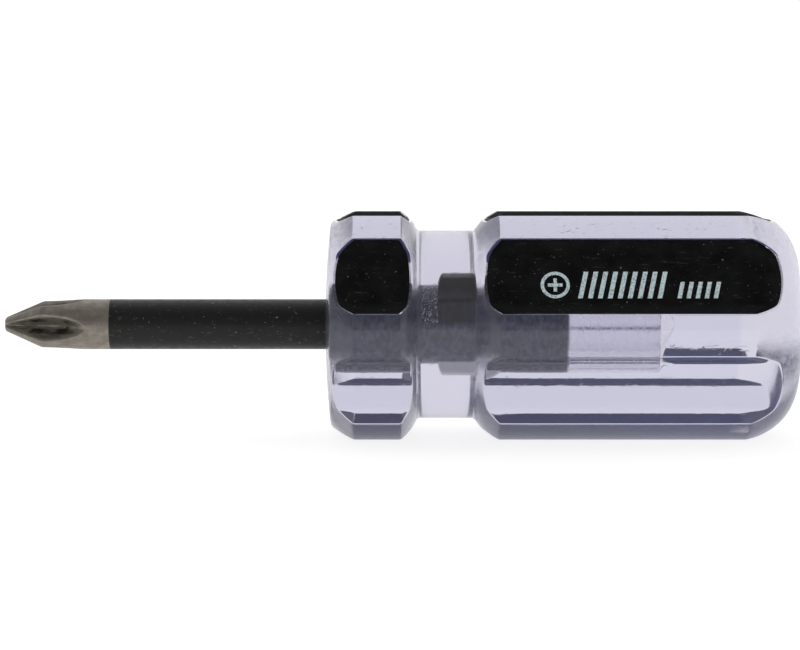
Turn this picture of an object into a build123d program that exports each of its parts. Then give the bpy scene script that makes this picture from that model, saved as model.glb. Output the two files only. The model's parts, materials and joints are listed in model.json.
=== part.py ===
from build123d import *
import math
import os

# Stubby cross-point screwdriver, millimetres.
# X runs along the tool (point towards -X, butt towards +X), Z is up.
# The tool lies on the two edges of its lowest flute, on the plane Z = 0,
# and X = 0 is half-way along its overall length.

# Overall
HANDLE_LENGTH = 56.2
EXPOSED_BLADE = 38.4
TIP_X = -(HANDLE_LENGTH + EXPOSED_BLADE) / 2
FACE_X = TIP_X + EXPOSED_BLADE

# Handle section: a round body with six shallow flutes, each a flat floor between sloping walls
GRIP_R = 14.18
FLUTE_COUNT = 6
FLUTE_FIRST_ANGLE = 30.0
FLUTE_FLOOR_R = 12.5
FLUTE_FLOOR_WIDTH = 6.6
FLUTE_WALL_ANGLE = 28.0
FLUTE_WALL_REACH = 3.0
FLUTE_ROOT_R = 0.5
FLUTE_EDGE_R = 0.25

# Handle profile, lengths measured from the front face
FACE_RIM_R = 12.0
FACE_RIM_DEPTH = 0.6
COLLAR_NOSE_R = 12.3
COLLAR_NOSE_DEPTH = 0.83
COLLAR_FULL_FROM = 3.4
COLLAR_FULL_TO = 9.0
NECK_FROM = 10.95
NECK_R = 11.26
NECK_TO = 17.75
NECK_FILLET = 0.4
GRIP_FULL_FROM = 20.6
GRIP_FULL_TO = 50.0
BUTT_KNEE = 54.2
BUTT_KNEE_R = 11.9
BUTT_FLAT_R = 7.4

# Blade
SHANK_R = 3.0
TANG_LENGTH = 28.8
TANG_CHAMFER = 0.4
POINT_R = 0.8
POINT_CONE_ANGLE = 26.3
POINT_EDGE_R = 0.12
WING_START = 13.35
WING_LENGTH = 8.4
WING_SPAN = 8.2
WING_THICKNESS = 1.8
WING_FRONT_CHAMFER = 0.6
WING_BACK_RAMP = 2.4
SWAGE_DIE_R = 9.0
SWAGE_DEPTH = 0.45

# Cross point, size 2
POINT_FLUTE_START_R = 0.7
POINT_FLUTE_TAPER = 5.75
POINT_FLUTE_STRAIGHT = 5.2
POINT_CUTTER_R = 9.0
POINT_FLUTE_TURN = 5.0
POINT_VALLEY_R = 0.15

# Bore that takes the tang: the wings grip, the round tang has a little clearance
TANG_CLEARANCE = 0.2
BORE_R = SHANK_R + TANG_CLEARANCE
BORE_DEPTH = 39.6
DRILL_POINT_ANGLE = 118.0

# Black colour in the flutes
INLAY_DEPTH = 0.25
INLAY_WIDTH = 9.4
INLAY_FLUTES = {"front": 150.0, "top": 90.0, "back": 30.0}

# Height of the tool's axis: the two rounded flute edges it lies on touch Z = 0
WALL_SLOPE = math.radians(FLUTE_WALL_ANGLE)
EDGE_CENTRE_R = GRIP_R - FLUTE_EDGE_R
WALL_OFFSET = (
    FLUTE_FLOOR_R * math.cos(WALL_SLOPE) - FLUTE_FLOOR_WIDTH / 2 * math.sin(WALL_SLOPE) - FLUTE_EDGE_R
)
WALL_RUN = math.sqrt(EDGE_CENTRE_R**2 - WALL_OFFSET**2)
AXIS_Z = WALL_OFFSET * math.cos(WALL_SLOPE) + WALL_RUN * math.sin(WALL_SLOPE) + FLUTE_EDGE_R
TOOL_AXIS = Axis((0, 0, AXIS_Z), (1, 0, 0))


def lengthwise(x):
    """Plane along the tool: local x along the axis from x, local y upwards from the axis."""
    return Plane(origin=(x, 0, AXIS_Z), x_dir=(1, 0, 0), z_dir=(0, -1, 0))


def crosswise(x):
    """Plane across the tool at x, facing the butt: local x is +Y, local y is +Z."""
    return Plane(origin=(x, 0, AXIS_Z), x_dir=(0, 1, 0), z_dir=(1, 0, 0))


def flute_outline(extra=0.0):
    """Cutter for one flute, extra deeper all round: local x outwards from the flute's floor."""
    floor_half = FLUTE_FLOOR_WIDTH / 2 + extra * math.tan(WALL_SLOPE / 2)
    mouth_half = floor_half + (FLUTE_WALL_REACH + extra) / math.tan(WALL_SLOPE)
    return [
        (-extra, -floor_half),
        (FLUTE_WALL_REACH, -mouth_half),
        (FLUTE_WALL_REACH, mouth_half),
        (-extra, floor_half),
    ]


def from_axis(vertex):
    return math.hypot(vertex.X, vertex.Y)


def save(piece, name):
    piece.part.label = name
    export_step(piece.part, f"parts/{name}.step")


os.makedirs("parts", exist_ok=True)

# Solid handle before its bore and pockets: the turned shape, then the fluted section
with BuildPart() as handle_blank:
    with BuildSketch(lengthwise(FACE_X)):
        with BuildLine():
            dome_r = FACE_RIM_R**2 / (2 * FACE_RIM_DEPTH)
            half_rim = FACE_RIM_R / 2
            dome = ThreePointArc(
                (0, 0),
                (half_rim**2 / (2 * dome_r), half_rim),
                (FACE_RIM_DEPTH, FACE_RIM_R),
            )
            rim = Line(dome @ 1, (COLLAR_NOSE_DEPTH, COLLAR_NOSE_R))
            nose = SagittaArc(rim @ 1, (COLLAR_FULL_FROM, GRIP_R), 0.08)
            collar = Line(nose @ 1, (COLLAR_FULL_TO, GRIP_R))
            collar_back = SagittaArc(collar @ 1, (NECK_FROM, NECK_R), 0.16)
            neck = Line(collar_back @ 1, (NECK_TO, NECK_R))
            shoulder = SagittaArc(neck @ 1, (GRIP_FULL_FROM, GRIP_R), 0.2)
            grip = Line(shoulder @ 1, (GRIP_FULL_TO, GRIP_R))
            knee = SagittaArc(grip @ 1, (BUTT_KNEE, BUTT_KNEE_R), 0.28)
            crown = SagittaArc(knee @ 1, (HANDLE_LENGTH, BUTT_FLAT_R), 0.5)
            Polyline(crown @ 1, (HANDLE_LENGTH, 0), dome @ 0)
        make_face()
    revolve(axis=TOOL_AXIS)
    neck_corners = edges().filter_by(GeomType.CIRCLE).filter_by(lambda e: abs(e.radius - NECK_R) < 0.01)
    fillet(neck_corners, NECK_FILLET)
    with BuildSketch(crosswise(FACE_X)):
        Circle(GRIP_R)
        with PolarLocations(FLUTE_FLOOR_R, FLUTE_COUNT, start_angle=FLUTE_FIRST_ANGLE):
            Polygon(*flute_outline(), align=None, mode=Mode.SUBTRACT)
        fillet(vertices().filter_by(lambda v: from_axis(v) < GRIP_R - 0.5), FLUTE_ROOT_R)
        fillet(vertices().filter_by(lambda v: from_axis(v) > GRIP_R - 0.01), FLUTE_EDGE_R)
    extrude(amount=HANDLE_LENGTH, mode=Mode.INTERSECT)

# Black colour in three flutes, once on the collar and once on the grip
NECK_MIDDLE = FACE_X + (NECK_FROM + NECK_TO) / 2
STRETCHES = {
    "collar": (FACE_X, NECK_MIDDLE),
    "grip": (NECK_MIDDLE, FACE_X + HANDLE_LENGTH),
}
inlays = {}
for stretch, (start_x, end_x) in STRETCHES.items():
    for side, flute_angle in INLAY_FLUTES.items():
        with BuildPart() as inlay:
            add(handle_blank.part)
            with BuildSketch(crosswise(start_x)):
                with PolarLocations(FLUTE_FLOOR_R, 1, start_angle=flute_angle):
                    Polygon(*flute_outline(INLAY_DEPTH), align=None)
                    Rectangle(3 * FLUTE_WALL_REACH, INLAY_WIDTH, mode=Mode.INTERSECT)
            extrude(amount=end_x - start_x, mode=Mode.INTERSECT)
        inlays[f"{stretch}_inlay_{side}"] = inlay

# Outline of the two wings squeezed out of the tang, which key the blade in the handle
WING_X = FACE_X + WING_START
half_span = WING_SPAN / 2
wing_outline = [
    (0, half_span - WING_FRONT_CHAMFER),
    (WING_FRONT_CHAMFER, half_span),
    (WING_LENGTH - WING_BACK_RAMP, half_span),
    (WING_LENGTH, SHANK_R - SWAGE_DEPTH),
]
wing_outline += [(x, -y) for x, y in reversed(wing_outline)]

# Handle: bore with a drill-point end, slots for the wings, pockets for the colour
with BuildPart() as handle:
    add(handle_blank.part)
    drill_point = BORE_R / math.tan(math.radians(DRILL_POINT_ANGLE / 2))
    with BuildSketch(lengthwise(FACE_X)):
        with BuildLine():
            Polyline(
                (-1, 0),
                (-1, BORE_R),
                (BORE_DEPTH, BORE_R),
                (BORE_DEPTH + drill_point, 0),
                close=True,
            )
        make_face()
    revolve(axis=TOOL_AXIS, mode=Mode.SUBTRACT)
    with BuildSketch(lengthwise(WING_X)):
        Polygon(*wing_outline, align=None)
    extrude(amount=WING_THICKNESS / 2, both=True, mode=Mode.SUBTRACT)
    for inlay in inlays.values():
        add(inlay.part, mode=Mode.SUBTRACT)

# Cutter for one flute of the cross point: a right-angled V that follows the taper,
# then leaves the shank on the cutter's own radius
with BuildPart() as point_cutter:
    taper = math.radians(POINT_FLUTE_TAPER)
    run_in = 1.0
    with BuildLine(Plane.XZ) as cutter_path:
        straight = Line(
            (TIP_X - run_in, POINT_FLUTE_START_R - run_in * math.tan(taper)),
            (
                TIP_X + POINT_FLUTE_STRAIGHT,
                POINT_FLUTE_START_R + POINT_FLUTE_STRAIGHT * math.tan(taper),
            ),
        )
        JernArc(straight @ 1, straight % 1, POINT_CUTTER_R, 45)
    with BuildSketch(Plane(origin=straight @ 0, x_dir=(0, 1, 0), z_dir=straight % 0)):
        Polygon((0, 0), (SHANK_R, SHANK_R), (-SHANK_R, SHANK_R), align=None)
        fillet(vertices().sort_by(Axis.Z)[0], POINT_VALLEY_R)
    sweep(path=cutter_path.line)

# Blade: cross point, round shank, tang with its wings
with BuildPart() as blade:
    cone_length = (SHANK_R - POINT_R) / math.tan(math.radians(POINT_CONE_ANGLE))
    tang_end = EXPOSED_BLADE + TANG_LENGTH
    with BuildSketch(lengthwise(TIP_X)):
        with BuildLine():
            Polyline(
                (0, 0),
                (0, POINT_R),
                (cone_length, SHANK_R),
                (tang_end - TANG_CHAMFER, SHANK_R),
                (tang_end, SHANK_R - TANG_CHAMFER),
                (tang_end, 0),
                close=True,
            )
        make_face()
    revolve(axis=TOOL_AXIS)
    fillet(edges().filter_by(GeomType.CIRCLE).sort_by(Axis.X)[0], POINT_EDGE_R)
    with Locations(*[Location((0, 0, AXIS_Z), (1, 0, 0), POINT_FLUTE_TURN + 90 * k) for k in range(4)]):
        add(point_cutter.part, mode=Mode.SUBTRACT)
    swage_die_y = SHANK_R - SWAGE_DEPTH + SWAGE_DIE_R
    with BuildSketch(Plane(origin=(WING_X + WING_LENGTH / 2, 0, AXIS_Z))):
        with Locations((0, swage_die_y), (0, -swage_die_y)):
            Circle(SWAGE_DIE_R)
    extrude(amount=SHANK_R, both=True, mode=Mode.SUBTRACT)
    with BuildSketch(lengthwise(WING_X)):
        Polygon(*wing_outline, align=None)
    extrude(amount=WING_THICKNESS / 2, both=True)

save(handle, "handle")
save(blade, "blade")
for name, inlay in inlays.items():
    save(inlay, name)
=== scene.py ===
import json
import math

import bmesh
import bpy
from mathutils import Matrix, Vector


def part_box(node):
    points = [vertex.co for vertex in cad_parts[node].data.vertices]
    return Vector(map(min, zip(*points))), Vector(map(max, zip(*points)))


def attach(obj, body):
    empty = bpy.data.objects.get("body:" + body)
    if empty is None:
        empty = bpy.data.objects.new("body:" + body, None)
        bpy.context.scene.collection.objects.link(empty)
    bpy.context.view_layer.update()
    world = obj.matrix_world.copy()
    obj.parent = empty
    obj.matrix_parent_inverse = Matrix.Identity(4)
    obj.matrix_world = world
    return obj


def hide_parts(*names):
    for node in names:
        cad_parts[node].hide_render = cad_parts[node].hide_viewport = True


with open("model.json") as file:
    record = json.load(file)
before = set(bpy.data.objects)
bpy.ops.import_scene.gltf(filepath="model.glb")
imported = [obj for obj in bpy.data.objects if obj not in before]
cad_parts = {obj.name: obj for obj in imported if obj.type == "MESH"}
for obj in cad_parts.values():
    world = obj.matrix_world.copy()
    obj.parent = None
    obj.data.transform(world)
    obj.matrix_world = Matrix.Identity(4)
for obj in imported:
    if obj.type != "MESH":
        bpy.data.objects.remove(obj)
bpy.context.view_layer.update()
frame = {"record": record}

# ---------------------------------------------------------------- sizes, metres
handle_low, handle_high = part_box("handle")
blade_low, blade_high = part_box("blade")
AXIS_Z = next(m for m in frame["record"]["mounts"] if m["name"] == "shank")["pos_m"][2]

HANDLE_LENGTH = 0.0562
TIP_X = blade_low.x
BUTT_X = handle_high.x
FACE_X = BUTT_X - HANDLE_LENGTH

# Section of the handle: six shallow flutes in a round body, flat floors between sloping walls
GRIP_R = handle_high.y
FLUTE_COUNT = 6
FLUTE_FLOOR_R = 0.0125
FLUTE_FLOOR_HALF = 0.0033
FLUTE_WALL_SLOPE = math.radians(28)
FLUTE_ROOT_ROUND = 0.00022
FLUTE_EDGE_R = 0.00025
SECTOR = 2 * math.pi / FLUTE_COUNT

# Profile of the handle, lengths from the front face
FACE_RIM_R = 0.0120
FACE_RIM_DEPTH = 0.0006
COLLAR_NOSE = (0.00083, 0.0123)
COLLAR_FULL_FROM = 0.0034
COLLAR_FULL_TO = 0.0090
NECK_FROM = 0.01095
NECK_R = 0.01126
NECK_TO = 0.01775
GRIP_FULL_FROM = 0.0206
GRIP_FULL_TO = 0.0500
BUTT_KNEE = (0.0542, 0.0119)
BUTT_FLAT_R = 0.0074
RIM_ROUND = 0.0003
RIM_CORNER = (0.00062, 0.0121)
NOSE_START_R = COLLAR_NOSE[1] + 0.00002
NECK_CORNER_X = 0.00035
NECK_CORNER_R = 0.0003
BUTT_ROUND_START_R = 0.0092
BUTT_ROUND_CORNER_R = 0.0079
BUTT_ROUND_END_R = 0.0066
BUTT_MIDDLE_R = 0.0006
NECK_TURNED_SHARE = 0.35
TURNED_FADE = 0.0001

# Bore and blade
BORE_R = 0.0032
BORE_DEPTH = 0.0396
BORE_END_ROUND = 0.0002
BORE_MOUTH_DEPTH = 0.0003
BORE_LIP_DEPTH = 0.00012
BORE_LIP = 0.00003
BORE_MOUTH_ROUND = 0.00015
DRILL_POINT_ANGLE = math.radians(118)
SHANK_R = 0.0030
TANG_END_X = blade_high.x
TANG_CHAMFER = 0.0004
POINT_R = 0.0008
POINT_CONE_ANGLE = math.radians(26.3)
POINT_FLUTE_START_R = 0.0007
POINT_FLUTE_TAPER = math.radians(5.75)
POINT_FLUTE_STRAIGHT = 0.0052
POINT_CUTTER_R = 0.0090
POINT_FLUTE_TURN = math.radians(5.0)
VALLEY_ROUND = math.radians(9)
POINT_FLUTE_END = 0.0098
TIP_ROUND_R = 0.00012
TIP_ROUND_LENGTH = 0.0002
SHANK_EDGE_ROUND = 0.0001
FLUTE_EDGE_ROUND = 0.00009
LAND_MIDDLE_TURN = math.radians(44)
LEAST_EDGE_TURN = math.radians(10)
BARE_LENGTH = 0.0126
WING_START = 0.01335
WING_LENGTH = 0.0084
WING_HALF_SPAN = 0.0041
WING_HALF_THICKNESS = 0.0009
WING_FRONT_ROUND = 0.0007
WING_RAMP = 0.0024
WING_ROOT_Z = 0.0024
WING_FILLET_TOP_Z = 0.0037
WING_EDGE_R = 0.00022
CRACKLE_LENGTH = 0.0022
SWAGE_DIE_R = 0.0090
SWAGE_DEPTH = 0.00045
SWAGE_EDGE_ROUND = 0.0002

# Black colour in three flutes, by angle from +Y towards +Z
COLOURED_FLUTES = {"front": math.radians(150), "top": math.radians(90), "back": math.radians(30)}
FILM_PROUD = 0.00002
FILM_SUNK = 0.00012
FILM_INSET = 0.0003

# Printed mark on the front of the grip: a ring with a cross in it, then two rows of bars;
# each row has its number of bars, its start after MARK_X, and a bar's pitch, width and height
MARK_X = 0.0163
MARK_LOW = -0.0024
MARK_LEAN = 0.22
MARK_ROWS = ((9, 0.0043, 0.00115, 0.00055, 0.0034), (5, 0.0158, 0.00105, 0.0005, 0.0021))
MARK_RING_R = 0.0017
MARK_RING_INSIDE_R = 0.0013
MARK_RING_STEPS = 40
MARK_CROSS_ARM = 0.00085
MARK_CROSS_HALF = 0.0002
MARK_SUNK = 0.00001
MARK_PROUD = 0.00002


# ---------------------------------------------------------------- mesh helpers
def new_piece(name, verts, faces, materials, body="root"):
    mesh = bpy.data.meshes.new(name)
    mesh.from_pydata([Vector(v) for v in verts], [], faces)
    mesh.validate()
    piece = bpy.data.objects.new(name, mesh)
    bpy.context.scene.collection.objects.link(piece)
    for material in materials:
        mesh.materials.append(material)
    for polygon in mesh.polygons:
        polygon.use_smooth = True
    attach(piece, body)
    return piece


def set_attribute(piece, name, values):
    """Stores one number for each vertex, for a material to read."""
    layer = piece.data.attributes.new(name, "FLOAT", "POINT")
    for item, value in zip(layer.data, values):
        item.value = value


def around(x, radius, angle):
    """Point at that distance and angle about the tool's axis; angle 0 is +Y, 90 degrees is +Z."""
    return (x, radius * math.cos(angle), AXIS_Z + radius * math.sin(angle))


def spread(start, end, count):
    """count values from start to end, both included."""
    return [start + (end - start) * i / (count - 1) for i in range(count)]


class Arc:
    """Convex arc of a turned profile, from one (x, r) point to the next, with its bulge outwards."""

    def __init__(self, start, end, sagitta):
        dx, dr = end[0] - start[0], end[1] - start[1]
        half = math.hypot(dx, dr) / 2
        self.radius = (half**2 + sagitta**2) / (2 * sagitta)
        drop = self.radius - sagitta
        self.cx = (start[0] + end[0]) / 2 + drop * dr / (2 * half)
        self.cr = (start[1] + end[1]) / 2 - drop * dx / (2 * half)
        self.side = 1 if dr < 0 else -1

    def at(self, r):
        """The arc's point at distance r from the axis."""
        return (self.cx + self.side * math.sqrt(self.radius**2 - (r - self.cr) ** 2), r)

    def slice(self, r_start, r_end, count):
        return [self.at(r) for r in spread(r_start, r_end, count)]


def corner(before, vertex, after, count):
    """Rounded corner: count points of a quadratic curve, both ends included."""
    points = []
    for t in spread(0, 1, count):
        a, b, c = (1 - t) ** 2, 2 * t * (1 - t), t**2
        points.append(tuple(a * p + b * q + c * s for p, q, s in zip(before, vertex, after)))
    return points


def grid_faces(columns, rows, closed):
    """Quads between columns of vertices that each hold rows vertices."""
    faces = []
    for c in range(columns if closed else columns - 1):
        d = (c + 1) % columns
        for r in range(rows - 1):
            faces.append((c * rows + r, d * rows + r, d * rows + r + 1, c * rows + r + 1))
    return faces


# ---------------------------------------------------------------- handle section
def soft_min(a, b, k):
    """The smaller of two lengths, rounded over about k where they meet."""
    h = max(k - abs(a - b), 0) / k
    return min(a, b) - h * h * k / 4


# The rounded edge of a flute: the centre of its round, the wall's distance from the axis,
# and the angles from the flute's middle to that centre, to the floor's end and to the wall's end
EDGE_CENTRE_R = GRIP_R - FLUTE_EDGE_R
WALL_OFFSET = FLUTE_FLOOR_R * math.cos(FLUTE_WALL_SLOPE) - FLUTE_FLOOR_HALF * math.sin(FLUTE_WALL_SLOPE)
EDGE_TURN = math.acos((WALL_OFFSET - FLUTE_EDGE_R) / EDGE_CENTRE_R) - FLUTE_WALL_SLOPE
FLUTE_ROOT_ANGLE = math.atan2(FLUTE_FLOOR_HALF, FLUTE_FLOOR_R)
FLUTE_HALF_ANGLE = math.atan2(
    EDGE_CENTRE_R * math.sin(EDGE_TURN) - FLUTE_EDGE_R * math.sin(FLUTE_WALL_SLOPE),
    EDGE_CENTRE_R * math.cos(EDGE_TURN) + FLUTE_EDGE_R * math.cos(FLUTE_WALL_SLOPE),
)


def section_radius(turn):
    """Radius of the fluted section at an angle from a flute's middle."""
    turn = abs(turn)
    if turn <= FLUTE_HALF_ANGLE:
        floor = FLUTE_FLOOR_R / math.cos(turn)
        wall = WALL_OFFSET / math.cos(turn + FLUTE_WALL_SLOPE)
        return -soft_min(-floor, -wall, FLUTE_ROOT_ROUND)
    if turn < EDGE_TURN:
        gap = turn - EDGE_TURN
        rise = math.sqrt(FLUTE_EDGE_R**2 - (EDGE_CENTRE_R * math.sin(gap)) ** 2)
        return EDGE_CENTRE_R * math.cos(gap) + rise
    return GRIP_R


# Angles of the section's points, closest together in the rounded root and on the rounded edge
root_band = math.radians(2.2)
half_flute = spread(0, FLUTE_ROOT_ANGLE - root_band, 7)
half_flute += spread(FLUTE_ROOT_ANGLE - root_band, FLUTE_ROOT_ANGLE + root_band, 9)[1:]
half_flute += spread(FLUTE_ROOT_ANGLE + root_band, FLUTE_HALF_ANGLE, 5)[1:]
half_sector = half_flute + spread(FLUTE_HALF_ANGLE, EDGE_TURN, 7)[1:]
half_sector += spread(EDGE_TURN, SECTOR / 2, 5)[1:]
FLUTE_TURNS = [-t for t in reversed(half_flute[1:])] + half_flute
SECTOR_TURNS = [-t for t in reversed(half_sector[1:])] + half_sector[:-1]

nose_arc = Arc(COLLAR_NOSE, (COLLAR_FULL_FROM, GRIP_R), 0.00008)
collar_back_arc = Arc((COLLAR_FULL_TO, GRIP_R), (NECK_FROM, NECK_R), 0.00016)
shoulder_arc = Arc((NECK_TO, NECK_R), (GRIP_FULL_FROM, GRIP_R), 0.0002)
knee_arc = Arc((GRIP_FULL_TO, GRIP_R), BUTT_KNEE, 0.00028)
crown_arc = Arc(BUTT_KNEE, (HANDLE_LENGTH, BUTT_FLAT_R), 0.0005)
DOME_R = FACE_RIM_R**2 / (2 * FACE_RIM_DEPTH)
CREASE_ROUND = 0.00014


def outside_profile(r):
    """(x, r) points of the handle's outside at one angle, where the fluted section's radius is r."""
    top = min(r, GRIP_R - 1e-6)
    low = top - CREASE_ROUND
    face = spread(BORE_R + BORE_MOUTH_ROUND, FACE_RIM_R - RIM_ROUND, 8)
    points = [(q**2 / (2 * DOME_R), q) for q in face]
    points += corner(points[-1], RIM_CORNER, nose_arc.at(NOSE_START_R), 5)[1:]
    points += nose_arc.slice(NOSE_START_R, low, 5)[1:]
    for rising, falling in ((nose_arc, collar_back_arc), (shoulder_arc, knee_arc)):
        start, end = rising.at(top), falling.at(top)
        points += corner(rising.at(low), start, (start[0] + CREASE_ROUND, r), 5)[1:]
        straight = spread(start[0] + CREASE_ROUND, end[0] - CREASE_ROUND, 9)
        points += [(x, r) for x in straight[1:]]
        points += corner((end[0] - CREASE_ROUND, r), end, falling.at(low), 5)[1:]
        if falling is collar_back_arc:
            near = NECK_R + NECK_CORNER_R
            neck_start, neck_end = NECK_FROM + NECK_CORNER_X, NECK_TO - NECK_CORNER_X
            points += collar_back_arc.slice(low, near, 8)[1:]
            points += corner(points[-1], (NECK_FROM, NECK_R), (neck_start, NECK_R), 5)[1:]
            points += [(x, NECK_R) for x in spread(neck_start, neck_end, 7)[1:]]
            points += corner(points[-1], (NECK_TO, NECK_R), shoulder_arc.at(near), 5)[1:]
            points += shoulder_arc.slice(near, low, 8)[1:]
    points += knee_arc.slice(low, BUTT_KNEE[1], 7)[1:]
    points += crown_arc.slice(BUTT_KNEE[1], BUTT_ROUND_START_R, 8)[1:]
    round_corner = (HANDLE_LENGTH, BUTT_ROUND_CORNER_R)
    points += corner(points[-1], round_corner, (HANDLE_LENGTH, BUTT_ROUND_END_R), 6)[1:]
    points += [(HANDLE_LENGTH, q) for q in spread(BUTT_ROUND_END_R, BUTT_MIDDLE_R, 6)[1:]]
    return points


def bore_profile():
    """(x, r) points of the bore, from its drill point out to the mouth."""
    cone = BORE_R / math.tan(DRILL_POINT_ANGLE / 2)
    points = [(BORE_DEPTH + cone * (1 - q), BORE_R * q) for q in spread(0.05, 0.95, 7)]
    wall_end = BORE_DEPTH - BORE_END_ROUND
    points += corner(points[-1], (BORE_DEPTH, BORE_R), (wall_end, BORE_R), 4)[1:]
    points += [(x, BORE_R) for x in spread(wall_end, BORE_MOUTH_DEPTH, 40)[1:]]
    points += [(BORE_LIP_DEPTH, BORE_R + BORE_LIP)]
    return points


def turned_share(r, full_r):
    """1 on the turned shoulders and ends, 0 on the smooth lands and flutes, between on the neck."""
    if abs(r - NECK_R) < 1e-6:
        return NECK_TURNED_SHARE
    return min(max((full_r - r) / TURNED_FADE, 0.0), 1.0)


def make_handle(clear, drilled):
    bore = bore_profile()
    verts = []
    turned = []
    rows = 0
    for k in range(FLUTE_COUNT):
        middle = SECTOR * (k + 0.5)
        for turn in SECTOR_TURNS:
            full_r = section_radius(turn)
            outside = outside_profile(full_r)
            column = bore + outside
            rows = len(column)
            verts += [around(FACE_X + x, r, middle + turn) for x, r in column]
            turned += [0.0] * len(bore) + [turned_share(r, full_r) for x, r in outside]
    columns = FLUTE_COUNT * len(SECTOR_TURNS)
    faces = grid_faces(columns, rows, closed=True)
    bore_tip = len(verts)
    verts.append(around(FACE_X + BORE_DEPTH + BORE_R / math.tan(DRILL_POINT_ANGLE / 2), 0, 0))
    butt_middle = len(verts)
    verts.append(around(BUTT_X, 0, 0))
    for c in range(columns):
        d = (c + 1) % columns
        faces.append((bore_tip, d * rows, c * rows))
        faces.append((butt_middle, c * rows + rows - 1, d * rows + rows - 1))
    piece = new_piece("clear_handle", verts, faces, [clear, drilled])
    set_attribute(piece, "turned", turned + [0.0, 1.0])
    for polygon in piece.data.polygons:
        inside = all(v == bore_tip or v % rows < len(bore) for v in polygon.vertices)
        polygon.material_index = 1 if inside and butt_middle not in polygon.vertices else 0
    outwards(piece)
    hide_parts("handle")
    return piece


def outwards(piece):
    """Turns every face of a closed piece to look outwards."""
    bm = bmesh.new()
    bm.from_mesh(piece.data)
    bmesh.ops.recalc_face_normals(bm, faces=bm.faces)
    bm.to_mesh(piece.data)
    bm.free()


def make_film(name, node, flute_angle, rising, falling, outer, inner):
    """Black colour over one flute: a thin closed skin that sits in the clear plastic."""
    stations = 25
    verts = []
    for lift in (FILM_PROUD, -FILM_SUNK):
        for turn in FLUTE_TURNS:
            r = section_radius(turn)
            start, end = rising.at(r)[0] + FILM_INSET, falling.at(r)[0] - FILM_INSET
            proud = lift * (1 - (turn / FLUTE_HALF_ANGLE) ** 8) if lift > 0 else lift
            for x in spread(start, end, stations):
                verts.append(around(FACE_X + x, r + proud, flute_angle + turn))
    columns = len(FLUTE_TURNS)
    layer = columns * stations
    faces = grid_faces(columns, stations, closed=False)
    faces += [tuple(layer + v for v in reversed(face)) for face in faces]
    rim = [c * stations for c in range(columns)]
    rim += [(columns - 1) * stations + s for s in range(1, stations)]
    rim += [c * stations + stations - 1 for c in reversed(range(columns - 1))]
    rim += [s for s in reversed(range(1, stations - 1))]
    for a, b in zip(rim, rim[1:] + rim[:1]):
        faces.append((a, b, layer + b, layer + a))
    piece = new_piece(name, verts, faces, [outer, inner])
    for polygon in piece.data.polygons:
        polygon.material_index = 1 if min(polygon.vertices) >= layer else 0
    outwards(piece)
    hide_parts(node)
    return piece


# ---------------------------------------------------------------- blade
def flute_valley(x):
    """Distance from the axis to the bottom of a cross-point flute, at x from the tip."""
    slope = math.tan(POINT_FLUTE_TAPER)
    if x <= POINT_FLUTE_STRAIGHT:
        return POINT_FLUTE_START_R + x * slope
    base = POINT_FLUTE_START_R + POINT_FLUTE_STRAIGHT * slope
    reach = (x - POINT_FLUTE_STRAIGHT) / POINT_CUTTER_R + math.sin(POINT_FLUTE_TAPER)
    if reach >= 0.9:
        return 1.0
    return base + POINT_CUTTER_R * (math.cos(POINT_FLUTE_TAPER) - math.sqrt(1 - reach**2))


def point_envelope(x):
    """Radius of the turned blank of the point, at x from the tip."""
    cone = POINT_R + x * math.tan(POINT_CONE_ANGLE)
    return soft_min(cone, SHANK_R, SHANK_EDGE_ROUND)


def rounded_turn(turn):
    """Angle from a flute's middle, flattened near the middle so that the valley is rounded."""
    return math.hypot(turn, VALLEY_ROUND) - VALLEY_ROUND * (1 - (turn / (math.pi / 4)) ** 2)


def flute_edge_turn(x):
    """Angle from a flute's middle to the edge where it meets the turned blank."""
    valley, envelope = flute_valley(x), point_envelope(x)
    ratio = min(valley / envelope, 1.0)
    sharp = math.acos(min(ratio / math.sqrt(2), 1.0)) - math.pi / 4
    low, high = 0.0, math.pi / 4
    for halving in range(24):
        middle = (low + high) / 2
        if rounded_turn(middle) < sharp:
            low = middle
        else:
            high = middle
    return high


def blade_radius(x, turn):
    """Radius of the point at x from the tip and at an angle from a flute's middle."""
    if turn >= LAND_MIDDLE_TURN:
        return point_envelope(x)
    turn = rounded_turn(turn)
    side = flute_valley(x) / max(math.cos(turn) - math.sin(turn), 0.01)
    return soft_min(point_envelope(x), side, FLUTE_EDGE_ROUND)


def swage_radius(x, angle):
    """Radius of the tang where the dies have squeezed its two sides, x from the front face."""
    along = x - WING_START - WING_LENGTH / 2
    flat = SHANK_R - SWAGE_DEPTH + along**2 / (2 * SWAGE_DIE_R)
    side = abs(math.cos(angle))
    return soft_min(SHANK_R, flat / max(side, 0.2), SWAGE_EDGE_ROUND)


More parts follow.
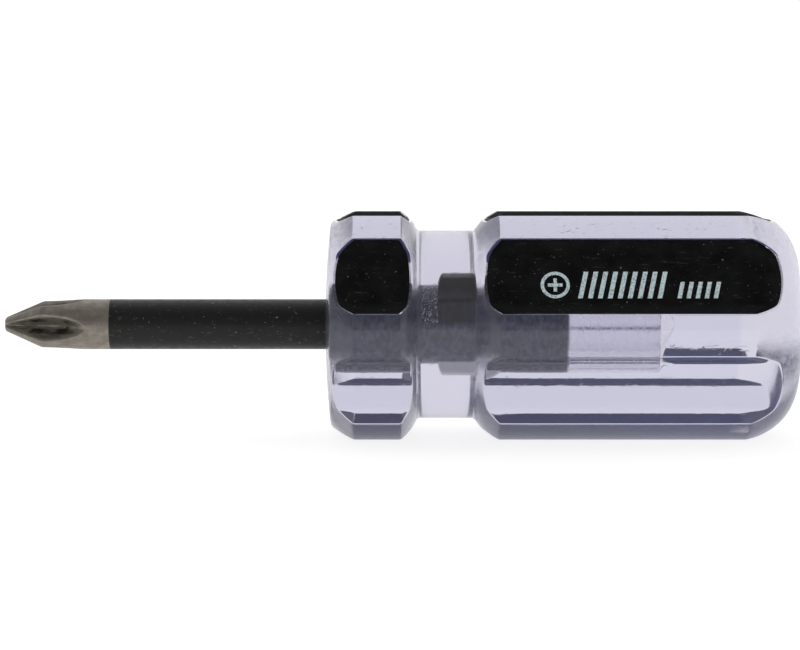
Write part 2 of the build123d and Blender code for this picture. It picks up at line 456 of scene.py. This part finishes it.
def make_blade(material):
    """Point, shank and tang as one skin; "recess" tells the material how deep in a flute it is."""
    wing_x = FACE_X - TIP_X + WING_START
    point_x = [0, 0.00003, 0.0001, TIP_ROUND_LENGTH] + spread(0.0004, POINT_FLUTE_END, 80)
    shank_x = spread(POINT_FLUTE_END + 0.0006, wing_x - 0.001, 60)
    tang_x = spread(wing_x, TANG_END_X - TIP_X - TANG_CHAMFER, 40)
    stations = point_x + shank_x + tang_x
    inner, outer = 10, 6
    verts = []
    recess = []
    for k in range(4):
        middle = math.radians(180) + POINT_FLUTE_TURN + math.radians(90) * k
        for i in range(-inner - outer, inner + outer):
            for x in stations:
                edge = max(flute_edge_turn(x), LEAST_EDGE_TURN)
                step = abs(i)
                if step <= inner:
                    turn = edge * step / inner
                else:
                    turn = edge + (math.pi / 4 - edge) * (step - inner) / outer
                angle = middle + math.copysign(turn, i)
                if x <= POINT_FLUTE_END:
                    r = blade_radius(x, turn)
                    r -= TIP_ROUND_R * (1 - math.sqrt(min(x / TIP_ROUND_LENGTH, 1.0)))
                    recess.append(max(0.0, 1 - r / point_envelope(x)))
                else:
                    r = swage_radius(x + TIP_X - FACE_X, angle)
                    recess.append(0.0)
                verts.append(around(TIP_X + x, r, angle))
            verts.append(around(TANG_END_X, SHANK_R - TANG_CHAMFER, angle))
            recess.append(0.0)
    rows = len(stations) + 1
    columns = 8 * (inner + outer)
    faces = grid_faces(columns, rows, closed=True)
    tip, tail = len(verts), len(verts) + 1
    verts += [around(TIP_X, 0, 0), around(TANG_END_X, 0, 0)]
    recess += [0.0, 0.0]
    for c in range(columns):
        d = (c + 1) % columns
        faces.append((tip, d * rows, c * rows))
        faces.append((tail, c * rows + rows - 1, d * rows + rows - 1))
    piece = new_piece("steel_blade", verts, faces, [material])
    set_attribute(piece, "recess", recess)
    outwards(piece)
    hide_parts("blade")
    return piece


def wing_height(x):
    """Height of a wing above the tool's axis, at x from the wing's front end."""
    rise = WING_HALF_SPAN - WING_ROOT_Z
    if x < WING_FRONT_ROUND:
        return WING_ROOT_Z + rise * math.sqrt(1 - (1 - x / WING_FRONT_ROUND) ** 2)
    ramp_start = WING_LENGTH - WING_RAMP
    if x < ramp_start:
        return WING_HALF_SPAN
    share = (x - ramp_start) / WING_RAMP
    return WING_HALF_SPAN - rise * share**1.5


def wing_section(height, flare):
    """(y, z) points over one wing, from its root on the far side to its root on the near side."""
    corner_r = min(WING_EDGE_R, max(height - WING_ROOT_Z, 0.00001) / 2)
    side = []
    for z in spread(WING_ROOT_Z, max(height - corner_r, WING_ROOT_Z + 0.00001), 9):
        bulge = max(WING_FILLET_TOP_Z - z, 0) / (WING_FILLET_TOP_Z - WING_ROOT_Z)
        side.append((WING_HALF_THICKNESS + flare * bulge**2, z))
    y, z = side[-1]
    side += corner((y, z), (y, height), (y - corner_r, height), 4)[1:]
    return side + [(-y, z) for y, z in reversed(side)]


def make_wing(name, up, flare, bare, material):
    """One wing squeezed out of the tang; up is 1 for the upper wing and -1 for the lower one."""
    stations = [WING_FRONT_ROUND * (1 - math.cos(a)) for a in spread(0, math.pi / 2, 9)]
    stations += spread(WING_FRONT_ROUND, WING_LENGTH, 30)[1:]
    verts = []
    for x in stations:
        for y, z in wing_section(wing_height(x), flare):
            verts.append((FACE_X + WING_START + x, -y, AXIS_Z + up * z))
    rows = len(verts) // len(stations)
    faces = grid_faces(len(stations), rows, closed=False)
    for c in range(len(stations) - 1):
        a, b = c * rows, (c + 1) * rows
        faces.append((a + rows - 1, b + rows - 1, b, a))
    last = (len(stations) - 1) * rows
    faces += [tuple(range(rows)), tuple(last + r for r in reversed(range(rows)))]
    piece = new_piece(name, verts, faces, [material])
    # The bare attribute is 1 on the wing that the steel material paints pale: painted light.
    set_attribute(piece, "bare", [bare] * len(verts))
    outwards(piece)
    return piece


# ---------------------------------------------------------------- generic mark
def on_flute_floor(x, s, lift, flute_angle):
    """Point over a flute's flat floor: x from the tool's middle, s across the floor, upwards."""
    floor = FLUTE_FLOOR_R + lift
    return around(x, math.hypot(floor, s), flute_angle - math.atan2(s, floor))


def make_mark(material):
    """A plain printed mark with no letters: a ring with a cross in it, then slanted bars."""
    outlines = []
    for count, start, pitch, width, height in MARK_ROWS:
        lean = height * MARK_LEAN
        top = MARK_LOW + height
        for i in range(count):
            x = MARK_X + start + i * pitch
            foot = [(x, MARK_LOW), (x + width, MARK_LOW)]
            outlines.append(foot + [(x + width + lean, top), (x + lean, top)])
    ring_x, ring_s = MARK_X + MARK_RING_R, MARK_LOW + MARK_RING_R
    for i in range(MARK_RING_STEPS):
        a, b = 2 * math.pi * i / MARK_RING_STEPS, 2 * math.pi * (i + 1) / MARK_RING_STEPS
        outline = []
        for q, t in ((MARK_RING_R, a), (MARK_RING_R, b), (MARK_RING_INSIDE_R, b), (MARK_RING_INSIDE_R, a)):
            outline.append((ring_x + q * math.cos(t), ring_s + q * math.sin(t)))
        outlines.append(outline)
    arm, half = MARK_CROSS_ARM, MARK_CROSS_HALF
    for right, low, high in ((arm, -half, half), (half, half, arm), (half, -half, -arm)):
        left_x, right_x = ring_x - right, ring_x + right
        low_s, high_s = ring_s + low, ring_s + high
        outlines.append([(left_x, low_s), (right_x, low_s), (right_x, high_s), (left_x, high_s)])
    bm = bmesh.new()
    for outline in outlines:
        low, high = [
            [bm.verts.new(on_flute_floor(x, s, lift, COLOURED_FLUTES["front"])) for x, s in outline]
            for lift in (FILM_PROUD - MARK_SUNK, FILM_PROUD + MARK_PROUD)
        ]
        bm.faces.new(high)
        bm.faces.new(list(reversed(low)))
        for i in range(len(outline)):
            j = (i + 1) % len(outline)
            bm.faces.new([low[i], low[j], high[j], high[i]])
    bmesh.ops.remove_doubles(bm, verts=bm.verts[:], dist=1e-7)
    bmesh.ops.recalc_face_normals(bm, faces=bm.faces)
    mesh = bpy.data.meshes.new("printed_mark")
    bm.to_mesh(mesh)
    bm.free()
    mesh.materials.append(material)
    piece = bpy.data.objects.new("printed_mark", mesh)
    bpy.context.scene.collection.objects.link(piece)
    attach(piece, "root")
    return piece


# ---------------------------------------------------------------- materials
def new_material(name):
    material = bpy.data.materials.new(name)
    material.use_nodes = True
    nodes, links = material.node_tree.nodes, material.node_tree.links
    return material, nodes, links, nodes["Principled BSDF"]


def noise(nodes, links, scale, detail=3.0, roughness=0.55, stretch=None):
    """Noise over the object's own coordinates; scale is in features per metre."""
    coords = nodes.new("ShaderNodeTexCoord")
    texture = nodes.new("ShaderNodeTexNoise")
    texture.inputs["Scale"].default_value = scale
    texture.inputs["Detail"].default_value = detail
    texture.inputs["Roughness"].default_value = roughness
    source = coords.outputs["Object"]
    if stretch:
        mapping = nodes.new("ShaderNodeMapping")
        mapping.inputs["Scale"].default_value = stretch
        links.new(source, mapping.inputs["Vector"])
        source = mapping.outputs["Vector"]
    links.new(source, texture.inputs["Vector"])
    return texture.outputs["Fac"]


def ramp(nodes, links, source, low, high, to_low, to_high):
    """A number that follows source from to_low to to_high while source goes from low to high."""
    node = nodes.new("ShaderNodeMapRange")
    node.inputs["From Min"].default_value = low
    node.inputs["From Max"].default_value = high
    node.inputs["To Min"].default_value = to_low
    node.inputs["To Max"].default_value = to_high
    links.new(source, node.inputs["Value"])
    return node.outputs["Result"]


def mix_colour(nodes, links, factor, a, b):
    """Colour a where factor is 0 and b where it is 1; each is a colour or a socket."""
    node = nodes.new("ShaderNodeMix")
    node.data_type = "RGBA"
    links.new(factor, node.inputs["Factor"])
    sockets = [s for s in node.inputs if s.type == "RGBA"]
    for socket, value in zip(sockets, (a, b)):
        if isinstance(value, tuple):
            socket.default_value = (*value, 1.0)
        else:
            links.new(value, socket)
    return [s for s in node.outputs if s.type == "RGBA"][0]


def bump(nodes, links, height, distance, strength=1.0, normal=None):
    node = nodes.new("ShaderNodeBump")
    node.inputs["Strength"].default_value = strength
    node.inputs["Distance"].default_value = distance
    links.new(height, node.inputs["Height"])
    if normal is not None:
        links.new(normal, node.inputs["Normal"])
    return node.outputs["Normal"]


def attribute(nodes, name):
    node = nodes.new("ShaderNodeAttribute")
    node.attribute_name = name
    return node.outputs["Fac"]


def blend(nodes, links, factor, a, b):
    """The number a where factor is 0 and b where it is 1."""
    node = nodes.new("ShaderNodeMix")
    links.new(factor, node.inputs["Factor"])
    links.new(a, node.inputs["A"])
    links.new(b, node.inputs["B"])
    return node.outputs["Result"]


def along(nodes, links, start, end, axis="X"):
    """0 before start and 1 after end, along one axis of the frame."""
    coords = nodes.new("ShaderNodeTexCoord")
    split = nodes.new("ShaderNodeSeparateXYZ")
    links.new(coords.outputs["Object"], split.inputs["Vector"])
    return ramp(nodes, links, split.outputs[axis], start, end, 0, 1)


def clear_plastic():
    """Polished on the lands and flutes, faintly frosted where a tool turned the shoulders and ends."""
    material, nodes, links, shader = new_material("clear_lilac_plastic")
    shader.inputs["IOR"].default_value = 1.48
    shader.inputs["Transmission Weight"].default_value = 0.955
    tint = noise(nodes, links, 90)
    colour = mix_colour(nodes, links, tint, (0.57, 0.56, 0.70), (0.62, 0.61, 0.73))
    turned = attribute(nodes, "turned")
    links.new(mix_colour(nodes, links, turned, colour, (0.70, 0.68, 0.76)), shader.inputs["Base Color"])
    wear = noise(nodes, links, 1500, detail=4)
    smooth = ramp(nodes, links, wear, 0.3, 0.8, 0.012, 0.06)
    frosted = ramp(nodes, links, wear, 0.3, 0.8, 0.14, 0.30)
    links.new(blend(nodes, links, turned, smooth, frosted), shader.inputs["Roughness"])
    waves = noise(nodes, links, 160, detail=1.5)
    fine = noise(nodes, links, 2600, detail=3)
    pits = ramp(nodes, links, noise(nodes, links, 1500, detail=3), 0.62, 0.74, 0, -1)
    grain = noise(nodes, links, 1.0, detail=2, stretch=(420, 3000, 3000))
    scratches = ramp(nodes, links, grain, 0.62, 0.74, 0, -1)
    normal = bump(nodes, links, waves, 0.00001)
    normal = bump(nodes, links, fine, 0.000001, normal=normal)
    normal = bump(nodes, links, pits, 0.000004, normal=normal)
    normal = bump(nodes, links, scratches, 0.0000015, normal=normal)
    links.new(normal, shader.inputs["Normal"])
    return material


def drilled_plastic():
    """Wall of the bore: clear and ringed by the drill, but opaque along the tang and painted there with
    the tang's dark steel under a painted bluish veil of scattered light.

    Along the tang it is also crackled in front of the upper wing, and painted with shade in the upper half
    below that wing.
    """
    material, nodes, links, shader = new_material("drilled_bore_plastic")
    shader.inputs["IOR"].default_value = 1.48
    cloud = noise(nodes, links, 1500, detail=5)
    empty = mix_colour(nodes, links, cloud, (0.88, 0.87, 0.93), (0.97, 0.96, 0.99))
    mottle = ramp(nodes, links, cloud, 0.36, 0.64, 0, 1)
    # Painted bluish veil of scattered light over the tang's dark steel, mottled.
    filled = mix_colour(nodes, links, mottle, (0.035, 0.040, 0.068), (0.125, 0.132, 0.195))
    flecks = ramp(nodes, links, noise(nodes, links, 6500, detail=4), 0.54, 0.64, 0, 1)
    crackle = mix_colour(nodes, links, flecks, (0.022, 0.025, 0.042), (0.78, 0.78, 0.88))
    wing_front = FACE_X + WING_START
    upper_half = along(nodes, links, AXIS_Z + 0.0001, AXIS_Z + 0.0006, "Z")
    crackle = mix_colour(nodes, links, upper_half, filled, crackle)
    crackle_start = along(nodes, links, wing_front - CRACKLE_LENGTH, wing_front - 0.8 * CRACKLE_LENGTH)
    crackle = mix_colour(nodes, links, crackle_start, filled, crackle)
    # Painted shade: a darker copy of the tang colour in the upper half, from the wing's front to 0.6 of
    # its length.
    shade = mix_colour(nodes, links, mottle, (0.012, 0.013, 0.020), (0.030, 0.032, 0.048))
    shade = mix_colour(nodes, links, upper_half, filled, shade)
    shade_end = wing_front + 0.6 * WING_LENGTH
    past_shade = along(nodes, links, shade_end, shade_end + 0.0004)
    shade = mix_colour(nodes, links, past_shade, shade, filled)
    under_wing = along(nodes, links, wing_front, wing_front + 0.0001)
    filled = mix_colour(nodes, links, under_wing, crackle, shade)
    past_tang = along(nodes, links, TANG_END_X - 0.0002, TANG_END_X + 0.0002)
    links.new(ramp(nodes, links, past_tang, 0, 1, 0.0, 0.90), shader.inputs["Transmission Weight"])
    links.new(mix_colour(nodes, links, past_tang, filled, empty), shader.inputs["Base Color"])
    rings = noise(nodes, links, 1.0, detail=3, stretch=(4200, 500, 500))
    links.new(ramp(nodes, links, rings, 0.3, 0.7, 0.12, 0.3), shader.inputs["Roughness"])
    links.new(bump(nodes, links, rings, 0.00001), shader.inputs["Normal"])
    return material


def black_colour():
    """Satin black layer with faint clouding, specks of dust and scratches from rubbing."""
    material, nodes, links, shader = new_material("black_flute_colour")
    shader.inputs["Specular IOR Level"].default_value = 0.06
    mottle = noise(nodes, links, 420, detail=5)
    cloud = ramp(nodes, links, mottle, 0.35, 0.7, 0, 1)
    colour = mix_colour(nodes, links, cloud, (0.0032, 0.0032, 0.0035), (0.0095, 0.0098, 0.0098))
    dust = ramp(nodes, links, noise(nodes, links, 3600, detail=1.5), 0.70, 0.76, 0, 1)
    colour = mix_colour(nodes, links, dust, colour, (0.16, 0.15, 0.14))
    grain = noise(nodes, links, 1.0, detail=3, stretch=(500, 5200, 3800))
    rubs = ramp(nodes, links, grain, 0.64, 0.76, 0, 0.6)
    colour = mix_colour(nodes, links, rubs, colour, (0.06, 0.06, 0.06))
    links.new(colour, shader.inputs["Base Color"])
    links.new(ramp(nodes, links, mottle, 0.3, 0.7, 0.42, 0.62), shader.inputs["Roughness"])
    links.new(bump(nodes, links, noise(nodes, links, 1800, detail=4), 0.000006), shader.inputs["Normal"])
    return material


def black_colour_inside():
    """The same layer's inner face, painted with a bluish veil of scattered light, as it looks through the
    plastic.
    """
    material, nodes, links, shader = new_material("black_flute_colour_inside")
    shader.inputs["Specular IOR Level"].default_value = 0.1
    cloud = noise(nodes, links, 500, detail=4)
    # Painted bluish veil of scattered light over the black.
    colour = mix_colour(nodes, links, cloud, (0.042, 0.056, 0.185), (0.092, 0.116, 0.345))
    links.new(colour, shader.inputs["Base Color"])
    shader.inputs["Roughness"].default_value = 0.6
    return material


def mark_print():
    """Pale printing ink, a little worn through."""
    material, nodes, links, shader = new_material("pale_printed_mark")
    wear = ramp(nodes, links, noise(nodes, links, 4200, detail=4), 0.30, 0.52, 0, 1)
    colour = mix_colour(nodes, links, wear, (0.26, 0.31, 0.33), (0.70, 0.84, 0.88))
    links.new(colour, shader.inputs["Base Color"])
    shader.inputs["Roughness"].default_value = 0.6
    shader.inputs["Specular IOR Level"].default_value = 0.3
    return material


def blade_steel():
    """Black finish on the shank, bare ground steel at the point, and painted light on one wing: the steel
    there is painted pale.
    """
    material, nodes, links, shader = new_material("blade_steel_and_black_finish")
    edge = TIP_X + BARE_LENGTH
    black = along(nodes, links, edge - 0.00006, edge + 0.00006)
    grind = noise(nodes, links, 1.0, detail=5, stretch=(500, 2600, 2600))
    cloud = noise(nodes, links, 1100, detail=5)
    bare = mix_colour(nodes, links, grind, (0.16, 0.142, 0.12), (0.36, 0.33, 0.285))
    stain = ramp(nodes, links, cloud, 0.35, 0.65, 0, 0.6)
    bare = mix_colour(nodes, links, stain, bare, (0.17, 0.15, 0.125))
    # Painted shade and grime: the point's flutes get darker with their depth (recess), in irregular
    # streaks.
    deep = ramp(nodes, links, attribute(nodes, "recess"), 0.02, 0.30, 0, 1)
    streaks = noise(nodes, links, 1.0, detail=4, stretch=(420, 1300, 1300))
    grime_and_shade_streaks = ramp(nodes, links, streaks, 0.42, 0.58, 0, 1)
    flute_grime_and_painted_shade = mix_colour(nodes, links, grime_and_shade_streaks, (0.034, 0.029, 0.023), (0.19, 0.17, 0.145))
    bare = mix_colour(nodes, links, deep, bare, flute_grime_and_painted_shade)
    bands = noise(nodes, links, 1.0, detail=3, stretch=(25, 520, 520))
    finish = mix_colour(nodes, links, bands, (0.0035, 0.0034, 0.0033), (0.0095, 0.0092, 0.0090))
    flakes = noise(nodes, links, 1.0, detail=6, stretch=(1100, 2300, 2300))
    chips = ramp(nodes, links, flakes, 0.60, 0.67, 0, 0.5)
    finish = mix_colour(nodes, links, chips, finish, (0.060, 0.055, 0.046))
    specks = ramp(nodes, links, noise(nodes, links, 2600, detail=3), 0.69, 0.75, 0, 1)
    finish = mix_colour(nodes, links, specks, finish, (0.30, 0.27, 0.22))
    colour = mix_colour(nodes, links, black, bare, finish)
    # Painted light: the wing marked bare is painted as a pale, lit copy of the steel.
    lower_wing_painted_light = attribute(nodes, "bare")
    pale = mix_colour(nodes, links, cloud, (0.80, 0.78, 0.82), (1.0, 0.98, 1.0))
    links.new(mix_colour(nodes, links, lower_wing_painted_light, colour, pale), shader.inputs["Base Color"])
    links.new(ramp(nodes, links, black, 0, 1, 0.85, 0.0), shader.inputs["Metallic"])
    shader.inputs["Specular IOR Level"].default_value = 0.28
    links.new(ramp(nodes, links, cloud, 0.3, 0.7, 0.36, 0.52), shader.inputs["Roughness"])
    links.new(bump(nodes, links, grind, 0.000008), shader.inputs["Normal"])
    return material


# ---------------------------------------------------------------- pieces
clear = clear_plastic()
drilled = drilled_plastic()
black = black_colour()
inside = black_colour_inside()
steel = blade_steel()

make_handle(clear, drilled)
for side, flute_angle in COLOURED_FLUTES.items():
    stretches = (("collar", nose_arc, collar_back_arc), ("grip", shoulder_arc, knee_arc))
    for part, rising, falling in stretches:
        name, node = f"{part}_colour_{side}", f"{part}_inlay_{side}"
        make_film(name, node, flute_angle, rising, falling, black, inside)
make_blade(steel)
make_wing("tang_wing_upper", 1, 0.0015, 0.0, steel)
# The lower wing has bare 1.0: the steel material paints it pale with painted light.
make_wing("tang_wing_lower", -1, 0.0002, 1.0, steel)
make_mark(mark_print())


# ---------------------------------------------------------------- stage, light, camera
def make_floor():
    size = 3.0
    mesh = bpy.data.meshes.new("floor")
    corners = [(-size, -size, 0), (size, -size, 0), (size, size, 0), (-size, size, 0)]
    mesh.from_pydata(corners, [], [(0, 1, 2, 3)])
    floor = bpy.data.objects.new("floor", mesh)
    bpy.context.scene.collection.objects.link(floor)
    material, nodes, links, shader = new_material("pale_floor")
    shader.inputs["Base Color"].default_value = (0.35, 0.35, 0.35, 1)
    shader.inputs["Roughness"].default_value = 0.9
    shader.inputs["Emission Color"].default_value = (1, 1, 1, 1)
    shader.inputs["Emission Strength"].default_value = 0.8
    mesh.materials.append(material)


def make_world():
    """Soft studio surround: bright behind the tool, dimmer on the camera's side."""
    world = bpy.data.worlds.new("studio")
    world.use_nodes = True
    bpy.context.scene.world = world
    nodes, links = world.node_tree.nodes, world.node_tree.links
    coords = nodes.new("ShaderNodeTexCoord")
    split = nodes.new("ShaderNodeSeparateXYZ")
    links.new(coords.outputs["Generated"], split.inputs["Vector"])
    strength = nodes.new("ShaderNodeMapRange")
    strength.interpolation_type = "SMOOTHSTEP"
    strength.inputs["From Min"].default_value = -0.5
    strength.inputs["From Max"].default_value = 0.6
    strength.inputs["To Min"].default_value = 0.35
    strength.inputs["To Max"].default_value = 1.1
    links.new(split.outputs["Y"], strength.inputs["Value"])
    background = nodes["Background"]
    background.inputs["Color"].default_value = (1, 1, 1, 1)
    links.new(strength.outputs["Result"], background.inputs["Strength"])


def make_camera():
    distance = 0.348
    elevation = math.radians(5.6)
    field = 0.096
    camera = bpy.data.cameras.new("camera")
    camera.sensor_width = 36.0
    camera.lens = 36.0 * distance / field
    view = bpy.data.objects.new("camera", camera)
    bpy.context.scene.collection.objects.link(view)
    target = Vector((0, 0, AXIS_Z - 0.0001))
    back = Vector((0, -math.cos(elevation), math.sin(elevation)))
    view.location = target + back * distance
    view.rotation_euler = back.to_track_quat("Z", "Y").to_euler()
    bpy.context.scene.camera = view


make_floor()
make_world()
make_camera()
bpy.context.scene.view_settings.view_transform = "Standard"
